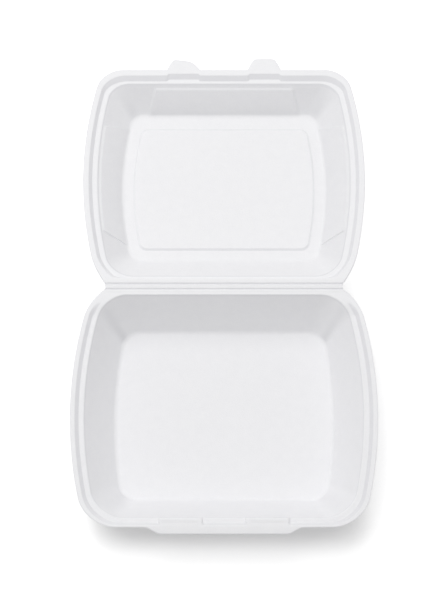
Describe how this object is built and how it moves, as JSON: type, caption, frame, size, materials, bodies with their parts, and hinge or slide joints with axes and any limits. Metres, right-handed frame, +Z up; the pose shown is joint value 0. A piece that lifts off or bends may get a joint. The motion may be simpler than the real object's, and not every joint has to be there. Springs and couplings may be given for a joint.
{
  "type": "foam clamshell container",
  "caption": "White foam hinged food container lying open, with a deep tray in front and a shallow panelled lid that closes over it and locks by tabs in slits.",
  "frame": {"origin": "centre of the tray's flat bottom", "axes": "+Z up, -Y towards the tray's front edge with the tongue, +Y towards the hinge and the open lid"},
  "size_m": [0.24, 0.3979, 0.0446],
  "materials": {
    "white_foam": "matte"
  },
  "bodies": {
    "tray": {"tray": "white_foam"},
    "strip": {"hinge_strip": "white_foam"},
    "lid": {"lid": "white_foam"}
  },
  "joints": [
    {"name": "strip_fold", "type": "hinge", "parent": "tray", "child": "strip", "pos_m": [0, 0.0951, 0.0427], "axis": [1, 0, 0], "range_deg": [0, 93.9]},
    {"name": "lid_fold", "type": "hinge", "parent": "strip", "child": "lid", "pos_m": [0, 0.09929, 0.04242], "axis": [1, 0, 0], "range_deg": [0, 93.9]}
  ]
}
